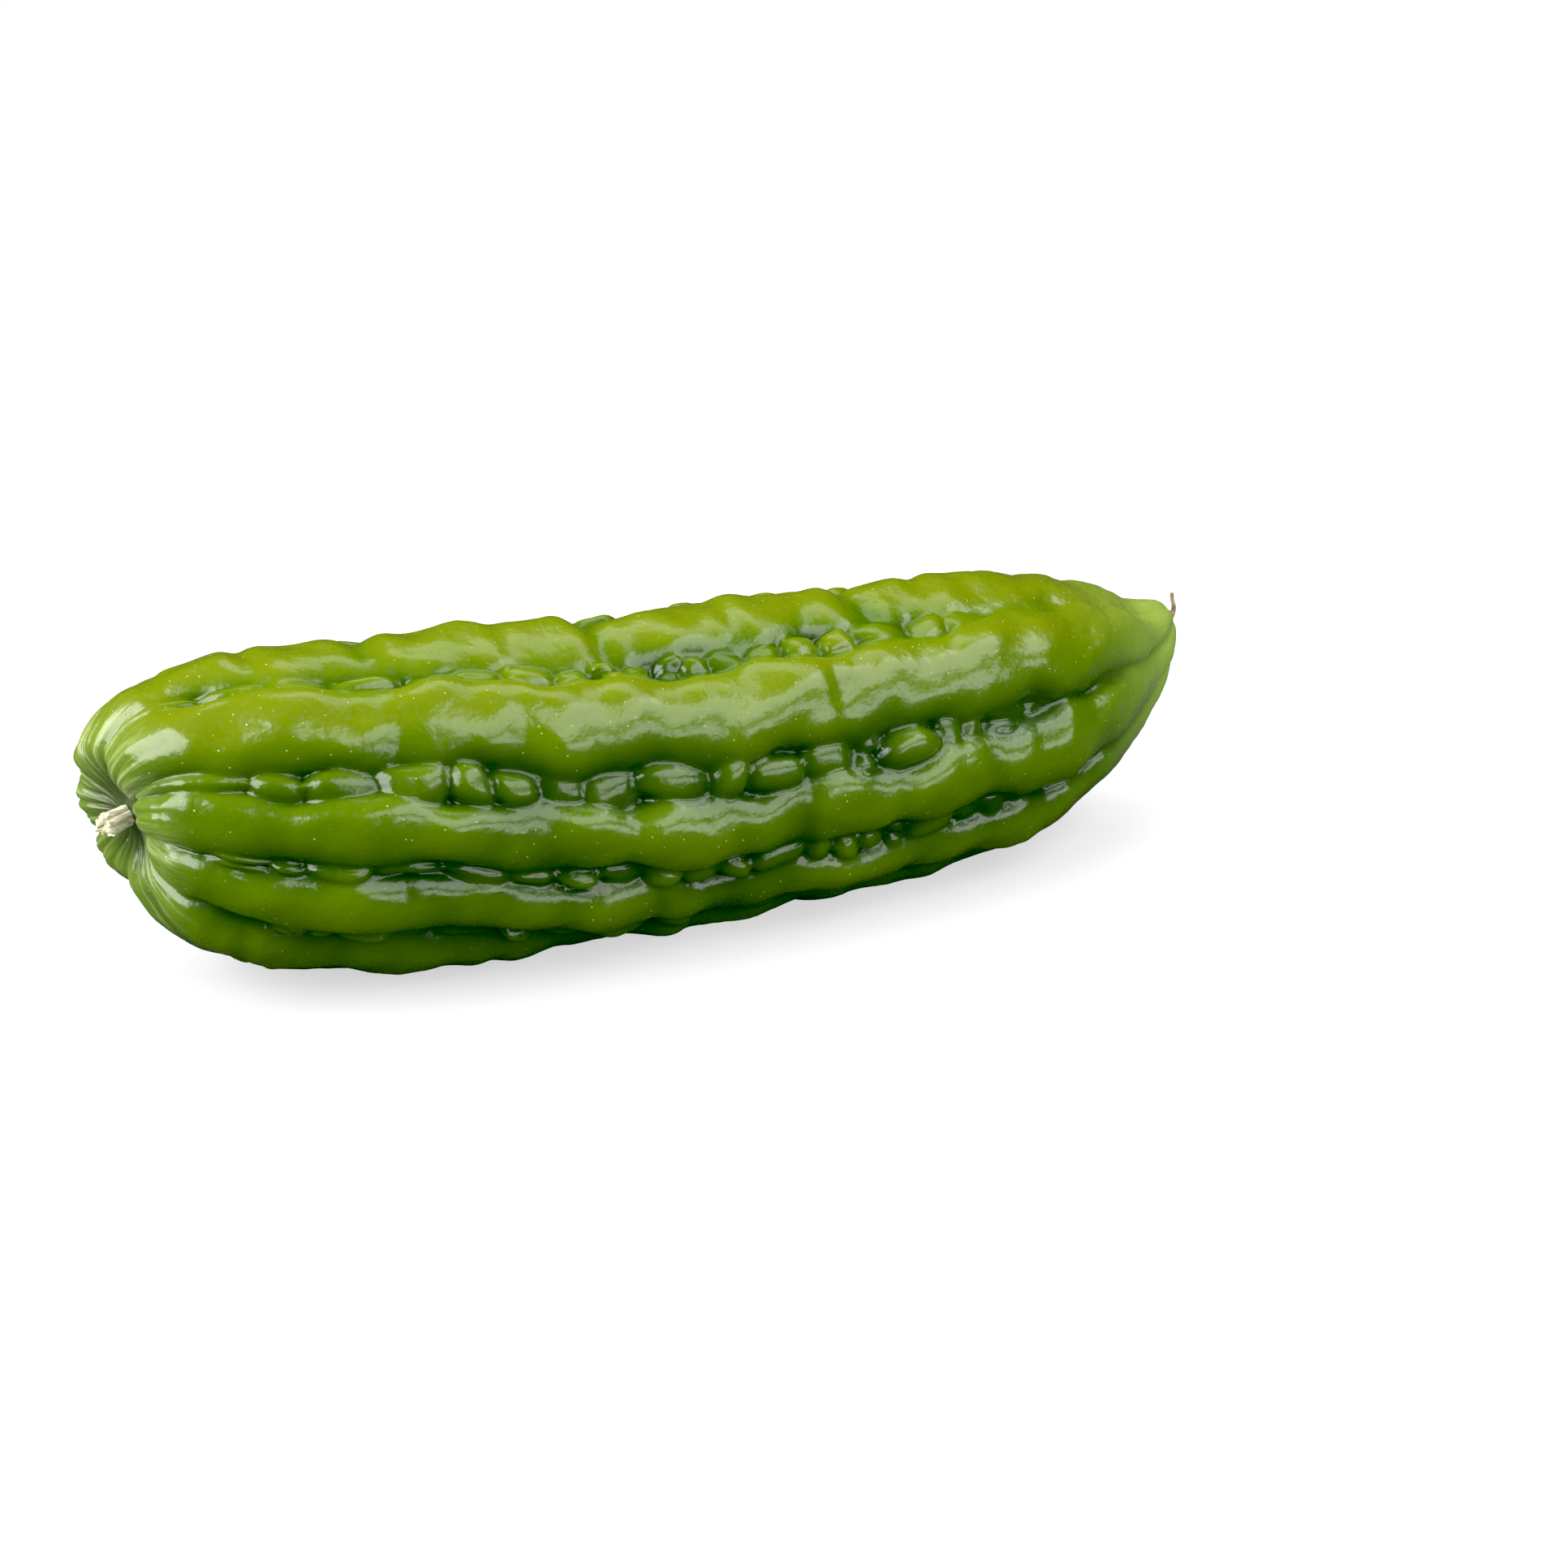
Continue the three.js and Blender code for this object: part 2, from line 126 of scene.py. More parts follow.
# The sideways bow, the lift of the tip and of its very end, and the neck before the beak.
BOW = 18.6
TIP_LIFT = 17
TIP_LIFT_FROM = 0.7
APEX_LIFT = 4
APEX_LIFT_FROM = 0.93
NECK_AT = 245
NECK_REACH = 5.5
NECK_DEPTH = 1.1
# The axis lies this much lower than the crests' radius, so the lowest crests are pressed
# flat by the floor.
REST_SINK = 2.3
FULL_TURN = 2 * math.pi
print("length, mm:", LENGTH)

# %% [markdown]
# The ridges and furrows have their own values. Each row of `RIDGES` holds the angle of one
# crest, in degrees, at the seven stations between stem and tip, so a ridge can wander. A row
# of `FURROW_SHARE` says how much of the way from one crest to the next is furrow.

# %% Values of ridges, furrows and lumps
FURROW_DEPTH = 6.6
# Across, a ridge is a dome with a flat top and steep sides. Along, it wavers and swells, and
# its edges undulate slowly and quickly.
DOME_FLATNESS = 2.2
DOME_POWER = 0.55
WAVER_DEGREES = 1.7
WAVER_LENGTH = 41
SWELL = 0.7
SWELL_LENGTH = 53
EDGE_SLOW = 0.048
EDGE_SLOW_LENGTH = 31
EDGE_QUICK = 0.016
EDGE_QUICK_LENGTH = 12.7
RIDGE_OVERLAP = 0.03
RIDGES = np.array([
    [106, 97, 93, 91, 91, 90, 88],
    [58, 52, 47, 40, 41, 46, 50],
    [16, 13, 6, -5, -5, 0, 6],
    [-14, -15, -22, -38, -40, -38, -34],
    [-46, -46, -54, -71, -73, -73, -72],
    [-84, -86, -97, -109, -111, -111, -110],
    [-128, -130, -140, -150, -152, -152, -150],
    [-176, -180, -188, -194, -195, -195, -192],
    [-232, -230, -229, -230, -230, -230, -230],
], dtype=float)
FURROW_SHARE = np.array([
    [0.06, 0.05, 0.05, 0.09, 0.17, 0.06, 0.03],
    [0.08, 0.22, 0.25, 0.25, 0.24, 0.12, 0.04],
    [0.04, 0.04, 0.06, 0.20, 0.24, 0.12, 0.04],
    [0.04, 0.04, 0.06, 0.18, 0.22, 0.10, 0.04],
    [0.06, 0.08, 0.18, 0.24, 0.24, 0.12, 0.04],
    [0.06, 0.16, 0.24, 0.26, 0.22, 0.10, 0.04],
    [0.06, 0.12, 0.22, 0.26, 0.24, 0.12, 0.04],
    [0.06, 0.16, 0.24, 0.22, 0.24, 0.14, 0.04],
    [0.08, 0.05, 0.10, 0.20, 0.20, 0.10, 0.04],
])
# Where the middle of each furrow lies, how much relief each station has, and the ridges
# that stand a little higher than the others.
FURROW_MIDDLE = [0.61, 0.58, 0.53, 0.5, 0.5, 0.5, 0.5, 0.5, 0.5]
RELIEF_SHARE = np.array([0.75, 0.9, 1, 1, 1, 0.75, 0.45])
CREST_RISE = [0, 1.2, 0.3, 0, 0, 0, 0, 0, 0]
# Towards the tip the warts sink away, and the upper furrow fills up to a shallow saddle.
WARTS_SINK = 4
WARTS_SINK_FROM = 0.64
WARTS_SINK_TO = 0.84
FURROW_FILL = [0.55, 0, 0, 0, 0, 0, 0, 0, 0]
FURROW_FILL_FROM = 0.6
FURROW_FILL_TO = 0.74
# Broad and small lumps cross everything. Their patterns twist round the fruit and wander.
BROAD_LUMPS = 0.8
BROAD_TWIST = 5
BROAD_LENGTH = 5.1
BROAD_WANDER = 17
CROSS_TWIST = 3
CROSS_LENGTH = 8.3
SMALL_LUMPS = 0.2
SMALL_TWIST = 11
SMALL_LENGTH = 2.7
SMALL_WANDER = 13


def ease(value, low, high):
    s = np.clip((value - low) / (high - low), 0, 1)
    return s * s * (3 - 2 * s)


def along(values, t):
    """A smooth curve through values given at the stations."""
    k = np.clip(np.searchsorted(STATIONS, t, side="left") - 1, 0, len(STATIONS) - 2)
    last = len(STATIONS) - 1

    def slope(n):
        before = np.maximum(n - 1, 0)
        after = np.minimum(n + 1, last)
        return (values[after] - values[before]) / (STATIONS[after] - STATIONS[before])

    span = STATIONS[k + 1] - STATIONS[k]
    s = (t - STATIONS[k]) / span
    leave = slope(k) * span
    arrive = slope(k + 1) * span
    rise = values[k + 1] - values[k]
    bend = 3 * rise - 2 * leave - arrive
    return values[k] + s * (leave + s * (bend + s * (leave + arrive - 2 * rise)))


print("crest angles at mid length:", [round(float(along(row, 0.5))) for row in RIDGES])

# %% [markdown]
# The spindle is half an outline turned round an axis, as on a lathe. Near the stem it folds
# inwards to a small hollow, as it does on an apple. The axis itself is curved.

# %% The spindle and its axis
def profile(t):
    from_stem = np.clip(t * LENGTH / STEM_CAP, 0, 1)
    from_tip = np.clip((1 - t) * LENGTH / TIP_CAP, 0, 1)
    stem_round = (1 - (1 - from_stem) ** STEM_CAP_POWER) ** (1 / STEM_CAP_POWER)
    tip_round = np.sqrt(1 - (1 - from_tip) ** 2)
    fullness = stem_round * tip_round
    radius = along(CREST_RADIUS, t) * fullness
    fold = HOLLOW_DEPTH * (1 - ease(radius, HOLLOW_FLOOR_RADIUS, HOLLOW_RIM_RADIUS))
    x = (t - 0.5) * LENGTH + np.where(t < 0.5, fold, 0)
    return x, radius, fullness


def profile_normal(t):
    x_before, radius_before, _ = profile(np.maximum(t - 1e-4, 0))
    x_after, radius_after, _ = profile(np.minimum(t + 1e-4, 1))
    dx = x_after - x_before
    dr = radius_after - radius_before
    size = np.hypot(dx, dr)
    return -dr / size, dx / size


def axis_at(t):
    lift = TIP_LIFT * np.clip((t - TIP_LIFT_FROM) / (1 - TIP_LIFT_FROM), 0, 1) ** 2
    apex = APEX_LIFT * np.clip((t - APEX_LIFT_FROM) / (1 - APEX_LIFT_FROM), 0, 1) ** 2
    drop = STEM_DROP * np.clip(1 - t / STEM_DROP_TO, 0, 1) ** 2
    sidestep = STEM_SIDESTEP * np.clip(1 - t / STEM_SIDESTEP_TO, 0, 1) ** 2
    y = -BOW * (1 - (2 * t - 1) ** 2) - sidestep
    return y, along(CREST_RADIUS, t) + lift + apex - drop - REST_SINK


print("radius in the middle, mm:", profile(np.array([0.5]))[1].round(1))

# %% [markdown]
# ## Ridges and warts
# Nine broad ridges run the length of the fruit. Each wavers, swells and is crossed by a few
# creases, and every furrow between two ridges is packed with warts that squeeze each other
# square. Growth is irregular, so the numbers come from a seeded draw that is the same every
# time.

# %% Values of creases and warts
# A pair of numbers is the range that a draw picks from.
FIRST_CREASE = (16, 30)
CREASE_SPACING = (15, 34)
CREASE_DEPTH = (0.5, 1.8)
CREASE_REACH = (1.8, 4.4)
LAST_CREASE_FROM_TIP = 18
CREASE_STRENGTH = [1.15, 0.35, 0.45, 0.4, 0.6, 0.8, 1, 1, 0.9]
LOBE_END = (12, 32)
LOBE_TOP = (-1.4, -2.6)
LOBE_WIDTH = 0.9
LOBE_EDGE = 2.2
WART_SIZE = 6
WART_EXTRA_SIZE = 9
WART_SMALL_BIAS = 1.4
WART_TOP = (-0.8, -3.2)
WART_EDGE = (2.1, 3.2)
WART_WIDTH = (0.8, 1.2)
WART_LEAN = (-0.15, 0.15)
WART_HALF = 0.57
LAST_WART_FROM_TIP = 16
WART_OVERLAP = 0.065
WART_PUSH = 0.5
WART_PUSH_SLANT = 2.2
WART_PUSH_LENGTH = 4.7
WART_SHIFT = 0.1
WART_SHIFT_LENGTH = 3.1
PAIR_CHANCE = 0.22
PAIR_SLIP = (-1.2, 1.2)
PAIR_DROP = (0, -0.8)
PAIR_WIDTH = 0.58
PAIR_HALF = 0.5
GAP_WARTS = 26
GAP_HALF = (1.2, 2.1)
GAP_TOP = (-2.9, -4.4)
GAP_WIDTH = (0.2, 0.34)
GAP_LEAN = (-0.85, 0.85)
GAP_EDGE = 2.0
GAP_PLACE = (14, LENGTH - 20)
RANDOM_SEED = 4217
GAP_SEED = 77
print("wart size, mm:", WART_SIZE, "to", WART_SIZE + WART_EXTRA_SIZE)


# %% Seeded draws for the ridges and warts
class Draw:
    """A small random generator. The same seed always gives the same numbers."""

    def __init__(self, seed):
        self.state = seed

    def __call__(self):
        self.state = self.state * 16807 % 2147483647
        return self.state / 2147483647

    def between(self, span):
        first, last = span
        return first + (last - first) * self()


draw = Draw(RANDOM_SEED)


def ridge_character():
    creases = []
    at = draw.between(FIRST_CREASE)
    while at < LENGTH - LAST_CREASE_FROM_TIP:
        creases.append((at, draw.between(CREASE_DEPTH), draw.between(CREASE_REACH)))
        at += draw.between(CREASE_SPACING)
    names = ("waver", "swell", "upper_edge", "lower_edge", "twitch")
    return {"creases": creases} | {name: FULL_TURN * draw() for name in names}


def furrow_warts():
    """Each wart is its middle, half length, top, width, lean and the shape of its edge."""
    lobe_end = draw.between(LOBE_END)
    half = lobe_end / 2
    warts = [(half + 1, half, draw.between(LOBE_TOP), LOBE_WIDTH, 0, LOBE_EDGE)]
    at = lobe_end
    while at < LENGTH - LAST_WART_FROM_TIP:
        size = WART_SIZE + WART_EXTRA_SIZE * draw() ** WART_SMALL_BIAS
        middle = at + size / 2
        top = draw.between(WART_TOP)
        edge = draw.between(WART_EDGE)
        if draw() < PAIR_CHANCE:
            for side in (-0.5, 0.5):
                place = middle + draw.between(PAIR_SLIP)
                lower = top + draw.between(PAIR_DROP)
                warts.append((place, size * PAIR_HALF, lower, PAIR_WIDTH, side, edge))
        else:
            width = draw.between(WART_WIDTH)
            lean = draw.between(WART_LEAN)
            warts.append((middle, size * WART_HALF, top, width, lean, edge))
        at += size
    return warts


def gap_warts():
    """Beads of 3 to 4 mm in the corners between the big warts, too fine for the solid."""
    spans = (GAP_PLACE, GAP_HALF, GAP_TOP, GAP_WIDTH, GAP_LEAN)
    return [(*[gap_draw.between(span) for span in spans], GAP_EDGE) for _ in range(GAP_WARTS)]


RIDGE_CHARACTER = [ridge_character() for _ in RIDGES]
FURROW_WARTS = [furrow_warts() for _ in RIDGES]
gap_draw = Draw(GAP_SEED)
FURROW_WARTS = [warts + gap_warts() for warts in FURROW_WARTS]

# The two furrows on the front side of the stem end are open and dark, so they are a little
# wider here, and the narrow lobes that fill them in the solid are sunk.
OPEN_FURROWS = {2: 0.055, 3: 0.04}
OPEN_FROM = (0.01, 0.05)
OPEN_TO = (0.25, 0.4)
LOBE_SUNK = 3.5
for open_furrow in OPEN_FURROWS:
    at, half, top, *shape = FURROW_WARTS[open_furrow][0]
    FURROW_WARTS[open_furrow][0] = (at, half, top - LOBE_SUNK, *shape)
print("ridges:", len(RIDGES), "warts:", sum(len(w) for w in FURROW_WARTS))


# %% [markdown]
# The height of the skin is the highest of three domes: the ridge on one side, the ridge on
# the other side, and the warts between them. A plain maximum would leave a knife-sharp
# fold, so the domes are joined by a soft maximum that rounds the fold a little.

# %% Height of the skin above the spindle
FOLD_SOFTNESS = 0.45


def soft_max(a, b):
    return 0.5 * (a + b + np.sqrt((a - b) ** 2 + FOLD_SOFTNESS ** 2) - FOLD_SOFTNESS)


def ridge_angle(ridge, t):
    n = ridge % len(RIDGES)
    turn = -360 if ridge == len(RIDGES) else 0
    wave = WAVER_DEGREES * np.sin(FULL_TURN * t * LENGTH / WAVER_LENGTH + RIDGE_CHARACTER[n]["waver"])
    return along(RIDGES[n], t) + turn + wave


def ridge_height(ridge, offset, reach, side, t):
    """Height of one ridge; offset and reach are shares of the way to the next ridge."""
    n = ridge % len(RIDGES)
    character = RIDGE_CHARACTER[n]
    s = t * LENGTH
    phase = character["lower_edge"] if side > 0 else character["upper_edge"]
    slow = EDGE_SLOW * np.sin(FULL_TURN * s / EDGE_SLOW_LENGTH + phase)
    quick = EDGE_QUICK * np.sin(FULL_TURN * s / EDGE_QUICK_LENGTH + phase * 3)
    q = np.clip(offset / (reach + RIDGE_OVERLAP + slow + quick), 0, 1)
    crest = CREST_RISE[n] + SWELL * np.sin(FULL_TURN * s / SWELL_LENGTH + character["swell"])
    for at, depth, width in character["creases"]:
        crest = crest - CREASE_STRENGTH[n] * depth * np.exp(-((s - at) / width) ** 2)
    return -FURROW_DEPTH + (FURROW_DEPTH + crest) * (1 - q ** DOME_FLATNESS) ** DOME_POWER


def wart_height(furrow, across, share, t):
    twitch = RIDGE_CHARACTER[furrow]["twitch"]
    s = t * LENGTH
    off = (across - FURROW_MIDDLE[furrow]) / (share / 2 + WART_OVERLAP)
    s_pushed = s + WART_PUSH * np.sin(WART_PUSH_SLANT * off + s / WART_PUSH_LENGTH + twitch)
    off_pushed = off + WART_SHIFT * np.sin(s / WART_SHIFT_LENGTH + twitch)
    sink = WARTS_SINK * ease(t, WARTS_SINK_FROM, WARTS_SINK_TO)
    height = np.full_like(t, -FURROW_DEPTH)
    for at, half, top, width, lean, edge in FURROW_WARTS[furrow]:
        u = np.abs(s_pushed - at) / half
        v = np.abs(off_pushed - lean) / width
        inside = np.clip(1 - u ** edge - v ** edge, 0, 1)
        dome = (FURROW_DEPTH + top - sink) * np.sqrt(inside)
        height = np.maximum(height, -FURROW_DEPTH + dome)
    return height


def relief(furrow, across, t, fullness, angle):
    share = along(FURROW_SHARE[furrow], t)
    share = share + OPEN_FURROWS.get(furrow, 0) * ease(t, *OPEN_FROM) * (1 - ease(t, *OPEN_TO))
    middle = FURROW_MIDDLE[furrow]
    first = ridge_height(furrow, across, middle - share / 2, 1, t)
    second = ridge_height(furrow + 1, 1 - across, 1 - middle - share / 2, -1, t)
    height = soft_max(soft_max(first, second), wart_height(furrow, across, share, t))
    filled = FURROW_FILL[furrow] * ease(t, FURROW_FILL_FROM, FURROW_FILL_TO)
    height = np.where(height < 0, height * (1 - filled), height)
    s = t * LENGTH
    drift = BROAD_TWIST * angle + s / BROAD_LENGTH + np.sin(s / BROAD_WANDER)
    broad = BROAD_LUMPS * np.sin(drift) * np.sin(s / CROSS_LENGTH - CROSS_TWIST * angle + 1)
    wander = 2 * np.sin(s / SMALL_WANDER + CROSS_TWIST * angle)
    small = SMALL_LUMPS * np.sin(SMALL_TWIST * angle - s / SMALL_LENGTH + wander)
    neck = NECK_DEPTH * np.exp(-((s - NECK_AT) / NECK_REACH) ** 2)
    fade = along(RELIEF_SHARE, t) * fullness ** 0.8 * ease(fullness, 0.07, 0.2)
    return (height + broad + small) * fade - neck


halfway = np.full(5, 0.5)
example = relief(0, np.linspace(0, 1, 5), halfway, 2 * halfway, halfway)
print("height from one crest to the next, mm:", example.round(1))

# %% [markdown]
# ## A tube to work on
# The skin starts as a plain tube: a row of vertices spun a full turn about X, closed by one
# vertex at each end. The rings are then spread evenly over the fruit, and every vertex moves
# to the place that the formula gives. The columns of the tube follow the ridges, so the
# folds stay crisp.

# %% Spin the tube
COLUMNS_PER_RIDGE = 33
RINGS = 330


def even_stations(count):
    t = (1 - np.cos(np.linspace(0, math.pi, 4001))) / 2
    x, radius, _ = profile(t)
    travelled = np.concatenate([[0], np.cumsum(np.hypot(np.diff(x), np.diff(radius)))])
    return np.interp(np.linspace(0, travelled[-1], count + 1), travelled, t)


def spin_tube(rings, columns):
    tube = bmesh.new()
    row = [tube.verts.new((0, 0, 0))]
    row += [tube.verts.new((n, 0, 1)) for n in range(1, rings)]
    row.append(tube.verts.new((rings, 0, 0)))
    edges = [tube.edges.new(pair) for pair in zip(row, row[1:])]
    bmesh.ops.spin(
        tube, geom=row + edges, cent=(0, 0, 0), axis=(1, 0, 0),
        angle=FULL_TURN, steps=columns, use_merge=True, use_duplicate=False,
    )
    bmesh.ops.remove_doubles(tube, verts=tube.verts, dist=1e-4)
    mesh = bpy.data.meshes.new("skin")
    tube.to_mesh(mesh)
    tube.free()
    return mesh


skin_columns = COLUMNS_PER_RIDGE * len(RIDGES)
skin_mesh = spin_tube(RINGS, skin_columns)
print("tube:", len(skin_mesh.vertices), "vertices,", len(skin_mesh.polygons), "faces")

# %% [markdown]
# Reading a vertex's place on the tube tells which ring and which column it is in. The
# dressed skin also gets small dents and wrinkles that are too fine for the solid.

# %% Move the tube's vertices to the fruit
# Depth, fineness and starting place of each size of dent.
DENTS = [
    (0.34, 0.09, (0, 0, 0)),
    (0.26, 0.21, (7, 3, 1)),
    (0.07, 0.55, (2, 9, 4)),
]
# The wrinkles grow and fade between these radii. The fruit has twice as many grooves round
# it as each number of wrinkles says.
WRINKLES_FROM = (2.5, 8)
WRINKLES_TO = (12, 30)
COARSE_WRINKLES = 11
FINE_WRINKLES = 26
COARSE_DEPTH = 0.75
FINE_DEPTH = 0.3
WRINKLE_SINK = 0.8


def read_tube(mesh, columns):
    place = np.empty(len(mesh.vertices) * 3)
    mesh.vertices.foreach_get("co", place)
    place = place.reshape(-1, 3)
    ring = np.rint(place[:, 0]).astype(int)
    turn = np.arctan2(place[:, 1], place[:, 2]) / FULL_TURN
    column = np.rint(turn * columns).astype(int) % columns
    return ring, column


def small_dents(points):
    """Slow, shallow unevenness, in millimetres, at three sizes."""
    out = np.empty(len(points))
    for n, p in enumerate(points):
        place = Vector(p)
        out[n] = sum(
            depth * noise.noise(place * fineness + Vector(start)) for depth, fineness, start in DENTS
        )
    return out


def stem_wrinkles(radius, angle):
    """Narrow grooves, in millimetres, that run out of the hollow like gathered cloth."""
    wander = 0.5 * np.sin(3 * angle + radius / 6) + 0.35 * np.sin(7 * angle - radius / 4)
    groove = np.abs(np.sin(COARSE_WRINKLES * angle + wander)) ** 0.6
    fine = np.abs(np.sin(FINE_WRINKLES * angle - 2 * wander + radius / 9)) ** 0.7
    depth = ease(radius, *WRINKLES_FROM) * (1 - ease(radius, *WRINKLES_TO))
    return depth * (COARSE_DEPTH * groove + FINE_DEPTH * fine - WRINKLE_SINK)


def fruit_points(t, furrow, across):
    x, radius, fullness = profile(t)
    normal_x, normal_radius = profile_normal(t)
    height = np.empty_like(t)
    angle = np.empty_like(t)
    for n in range(len(RIDGES)):
        here = furrow == n
        first = ridge_angle(n, t[here])
        second = ridge_angle(n + 1, t[here])
        angle[here] = np.radians(first + (second - first) * across[here])
        height[here] = relief(n, across[here], t[here], fullness[here], angle[here])
    axis_y, axis_z = axis_at(t)
    rough = radius * fullness
    sample = np.stack([x, rough * np.cos(angle), rough * np.sin(angle)], axis=1)
    fine = height + small_dents(sample) * ease(fullness, 0.1, 0.5)
    fine = fine + np.where(t < 0.5, stem_wrinkles(radius, angle), 0)
    r = radius + normal_radius * fine
    near = r * np.cos(angle) / CREST_RADIUS[0]
    rise = r * np.sin(angle) / CREST_RADIUS[0]
    hollow_turn = HOLLOW_TURN * (1 - ease(r, HOLLOW_TURN_FROM, HOLLOW_TURN_TO))
    lean = FACE_SETBACK + (FACE_TURN + hollow_turn) * near - FACE_LEAN * rise
    points = np.stack([
        x + normal_x * fine + lean * np.clip(1 - t / FACE_LEAN_TO, 0, 1) ** 2,
        axis_y - r * np.cos(angle),
        np.maximum(axis_z + r * np.sin(angle), 0),
    ], axis=1)
    return points, height, angle, radius


ring, column = read_tube(skin_mesh, skin_columns)
stations = even_stations(RINGS)
skin_t = stations[ring]
skin_points, skin_height, skin_angle, skin_radius = fruit_points(
    skin_t, column // COLUMNS_PER_RIDGE, (column % COLUMNS_PER_RIDGE) / COLUMNS_PER_RIDGE,
)
print("points moved:", len(skin_points))

# %% [markdown]
# The solid was centred over the origin, and the skin must land in the same place. The tip of
# the fruit is the same point in both, so the difference between the two tips is the shift.

# %% Place the skin and store what the materials need
solid_tip = max((v.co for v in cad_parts["fruit"].data.vertices), key=lambda c: c.x)
formula_tip = skin_points[np.argmax(skin_t)]
SHIFT = np.array([solid_tip.x / MM - formula_tip[0], solid_tip.y / MM - formula_tip[1], 0])
print("shift, mm:", SHIFT.round(2))

# The radius that the fine grain of the material is measured at, and the radii between which
# the shade of the hollow fades.
GRAIN_RADIUS = 33
HOLLOW_SHADE = (5, 14)


def store(mesh, name, kind, values):
    field = "vector" if kind == "FLOAT_VECTOR" else "value"
    mesh.attributes.new(name, kind, "POINT").data.foreach_set(field, np.ravel(values))


def finish_skin(mesh, points, t, height, angle, radius):
    mesh.vertices.foreach_set("co", ((points + SHIFT) * MM).ravel())
    work = bmesh.new()
    work.from_mesh(mesh)
    bmesh.ops.recalc_face_normals(work, faces=work.faces)
    if work.calc_volume(signed=True) < 0:
        bmesh.ops.reverse_faces(work, faces=work.faces)
    volume = work.calc_volume(signed=True)
    work.to_mesh(mesh)
    work.free()
    mesh.shade_smooth()
    normals = np.empty(len(mesh.vertices) * 3)
    mesh.vertex_normals.foreach_get("vector", normals)
    # How far a point faces up. The skin's colour uses it for painted light on the upper side and
    # painted shade on the lower side.
    facing_up = 0.5 * np.sin(angle) + 0.5 * normals.reshape(-1, 3)[:, 2]
    around = np.stack([
        t * LENGTH, GRAIN_RADIUS * np.cos(angle), GRAIN_RADIUS * np.sin(angle),
    ], axis=1) * MM
    store(mesh, "crest", "FLOAT", np.clip(1 + height / FURROW_DEPTH, 0, 1.2))
    store(mesh, "way_along", "FLOAT", t)
    store(mesh, "upper_side", "FLOAT", ease(facing_up, 0.25, 1.0))
    store(mesh, "hollow", "FLOAT", np.where(t < 0.5, 1 - ease(radius, *HOLLOW_SHADE), 0))
    store(mesh, "grain_place", "FLOAT_VECTOR", around)
    return volume


volume = finish_skin(skin_mesh, skin_points, skin_t, skin_height, skin_angle, skin_radius)
skin = bpy.data.objects.new("skin", skin_mesh)
bpy.context.scene.collection.objects.link(skin)
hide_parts("fruit")
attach(skin, "root")
print("skin volume, litres:", round(volume * 1000, 3))

# %% [markdown]
# ## A ring drawn along a path
# A strand of stem and the dried curl are both thin bent rods. A rod could be a curve with a
# bevel, but a ring of vertices that is extruded step by step gives full control of its
# width at every step, and its free end can be torn afterwards.

# %% Draw a ring along a path
def draw_rod(work, path, radii, segments):
    """Extrudes a ring through the points of path and returns its last ring of vertices."""
    path = [Vector(p) for p in path]
    start = (path[1] - path[0]).normalized()
    ring = bmesh.ops.create_circle(work, cap_ends=True, segments=segments, radius=radii[0])["verts"]
    turn = start.to_track_quat("Z", "Y").to_matrix()
    bmesh.ops.rotate(work, verts=ring, cent=(0, 0, 0), matrix=turn)
    bmesh.ops.translate(work, verts=ring, vec=path[0])
    edges = list(dict.fromkeys(e for v in ring for e in v.link_edges))
    heading = start
    for n in range(1, len(path)):
        out = bmesh.ops.extrude_edge_only(work, edges=edges)
        ring = [g for g in out["geom"] if isinstance(g, bmesh.types.BMVert)]
        edges = [g for g in out["geom"] if isinstance(g, bmesh.types.BMEdge)]
        bmesh.ops.translate(work, verts=ring, vec=path[n] - path[n - 1])
        ahead = (path[min(n + 1, len(path) - 1)] - path[n - 1]).normalized()
        bend = heading.rotation_difference(ahead).to_matrix()
        bmesh.ops.rotate(work, verts=ring, cent=path[n], matrix=bend)
        ratio = radii[n] / radii[n - 1]
        to_centre = Matrix.Translation(-path[n])
        bmesh.ops.scale(work, verts=ring, vec=(ratio, ratio, ratio), space=to_centre)
        heading = ahead
    bmesh.ops.contextual_create(work, geom=edges)
    return ring


# %% [markdown]
# ## The cut stem
# The stem was torn off rather than sawn, so it ends in a ragged bundle of pale strands. Each
# strand is a short rod that bends outwards, and its free end is pushed in and out unevenly.

# %% Stem strands
stem_low, stem_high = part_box("cut_stem")
STEM_REACH = stem_high.x - stem_low.x
stem_aside = (FACE_TURN + HOLLOW_TURN) / CREST_RADIUS[0]
STEM_HEADING = Vector((-1, -stem_aside, -FACE_LEAN / CREST_RADIUS[0])).normalized()
stem_pole = Vector(skin_points[np.argmin(skin_t)] + SHIFT) * MM
STEM_CLEAR = 0.1 * MM
STEM_ROOT = stem_pole + STEM_HEADING * STEM_CLEAR
STEM_SEED = 911
OUTER_STRANDS = 7
OUTER_SPREAD = 1.75 * MM
OUTER_REACH = (0.6, 0.85)
OUTER_RADIUS = (0.72, 0.94)
INNER_STRANDS = 3
INNER_SPREAD = 0.7 * MM
INNER_REACH = (0.45, 0.65)
INNER_RADIUS = 0.75 * MM
STRAND_STEPS = 5
STRAND_SIDES = 9
RAGGED = 0.28
stem_draw = Draw(STEM_SEED)


